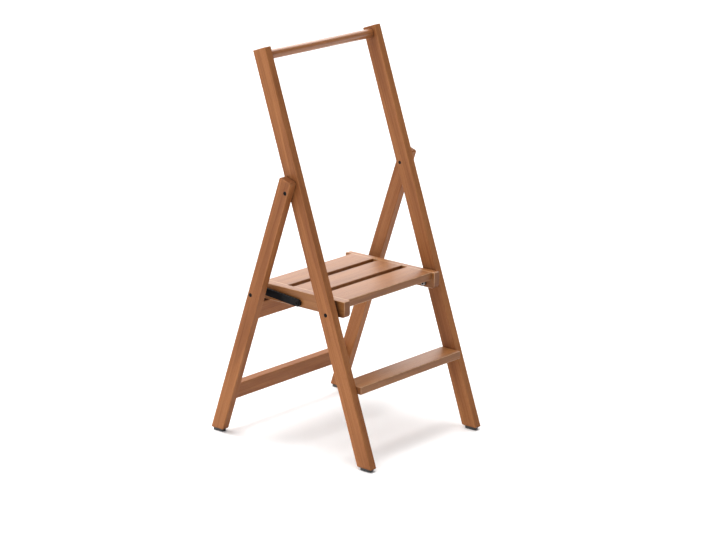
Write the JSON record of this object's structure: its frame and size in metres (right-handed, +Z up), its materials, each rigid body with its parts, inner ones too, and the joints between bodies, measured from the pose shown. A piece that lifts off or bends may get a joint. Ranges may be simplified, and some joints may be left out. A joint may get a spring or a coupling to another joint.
{
  "type": "folding step stool",
  "caption": "Wooden folding step stool with a tall handle frame, a slatted seat that swings up between the uprights, a lower step, rear legs and steel side links.",
  "frame": {"origin": "on the floor, in the middle of the open stool's footprint", "axes": "+X to the right of someone facing the front of the stool, +Y to the back, +Z up"},
  "size_m": [0.4776, 0.5142, 1.0081],
  "materials": {
    "frame_wood": "satin clear lacquer over stained beech",
    "tread_wood": "satin clear lacquer over stained beech",
    "dowel_wood": "bare turned beech",
    "black_steel": "black satin coating",
    "zinc_steel": "zinc plated",
    "black_plastic": "fine matt"
  },
  "bodies": {
    "front_frame": {"upright_left": "frame_wood", "upright_right": "frame_wood", "handle_bar": "frame_wood", "lower_step": "tread_wood", "step_dowels": "dowel_wood", "front_glides": "black_plastic", "leg_pivot_washers": "black_plastic", "seat_pivot_bolts": "black_steel", "seat_pivot_spacers": "black_plastic", "seat_pivot_washers": "black_steel", "seat_pivot_nuts": "zinc_steel"},
    "rear_frame": {"rear_leg_left": "frame_wood", "rear_leg_right": "frame_wood", "upper_stretcher": "frame_wood", "lower_stretcher": "frame_wood", "upper_stretcher_dowels": "dowel_wood", "lower_stretcher_dowels": "dowel_wood", "rear_glides": "black_plastic", "leg_pivot_bolts": "black_steel", "leg_pivot_barrel_nuts": "black_steel", "link_bolts": "black_steel", "link_spacers": "black_plastic", "link_nuts": "black_steel"},
    "seat": {"seat_rail_left": "tread_wood", "seat_rail_right": "tread_wood", "seat_slat_front": "tread_wood", "seat_slat_middle": "tread_wood", "seat_slat_rear": "tread_wood", "slat_dowels": "dowel_wood", "link_pin_inserts": "zinc_steel"},
    "link_left": {"link_left": "black_steel", "link_pin_left": "black_steel", "link_washer_left": "zinc_steel"},
    "link_right": {"link_right": "black_steel", "link_pin_right": "black_steel", "link_washer_right": "zinc_steel"}
  },
  "joints": [
    {"name": "leg_fold", "type": "hinge", "parent": "front_frame", "child": "rear_frame", "pos_m": [0, -0.00088, 0.66187], "axis": [-1, 0, 0], "range_deg": [0, 38.1]},
    {"name": "seat_fold", "type": "hinge", "parent": "front_frame", "child": "seat", "pos_m": [0, -0.11104, 0.371], "axis": [1, 0, 0], "range_deg": [0, 71.12]},
    {"name": "link_left_fold", "type": "hinge", "parent": "rear_frame", "child": "link_left", "pos_m": [-0.1875, 0.11688, 0.383], "axis": [-1, 0, 0], "range_deg": [0, 58.98]},
    {"name": "link_right_fold", "type": "hinge", "parent": "rear_frame", "child": "link_right", "pos_m": [0.1875, 0.11688, 0.383], "axis": [-1, 0, 0], "range_deg": [0, 58.98]}
  ],
  "couplings": [
    {"joint": "seat_fold", "follows": "leg_fold", "ratio": 1.8661},
    {"joint": "link_left_fold", "follows": "leg_fold", "ratio": 1.5475},
    {"joint": "link_right_fold", "follows": "leg_fold", "ratio": 1.5475}
  ]
}
